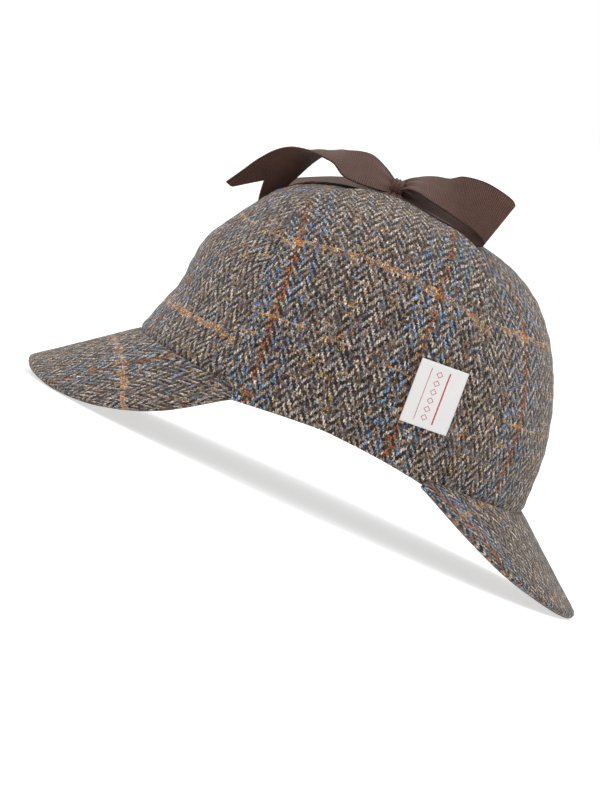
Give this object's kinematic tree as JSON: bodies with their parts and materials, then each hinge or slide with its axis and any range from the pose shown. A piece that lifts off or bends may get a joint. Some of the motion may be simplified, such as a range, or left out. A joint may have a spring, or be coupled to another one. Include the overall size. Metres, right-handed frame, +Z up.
{
  "type": "deerstalker hat",
  "caption": "Tweed hat with a gored crown, a peak at front and back, and ear flaps tied up over the crown by a ribbon bow.",
  "frame": {"origin": "on the surface that the hat stands on, under the middle of the hat's box", "axes": "+Z up, -Y out of the front peak, +X to the wearer's left, which is the side that carries the label"},
  "size_m": [0.178, 0.3006, 0.1818],
  "materials": {
    "tweed": "matt woollen herringbone with a coloured overcheck",
    "grosgrain": "soft sheen, fine cross ribs",
    "woven_label": "matt woven satin"
  },
  "bodies": {
    "root": {"crown_front_left": "tweed", "crown_side_left": "tweed", "crown_back_left": "tweed", "crown_back_right": "tweed", "crown_side_right": "tweed", "crown_front_right": "tweed", "front_peak": "tweed", "back_peak": "tweed", "left_ear_flap": "tweed", "right_ear_flap": "tweed", "left_ribbon": "grosgrain", "right_ribbon": "grosgrain", "ribbon_knot": "grosgrain", "rear_loop": "grosgrain", "front_tail": "grosgrain", "far_tail": "grosgrain", "woven_label": "woven_label"}
  },
  "joints": []
}
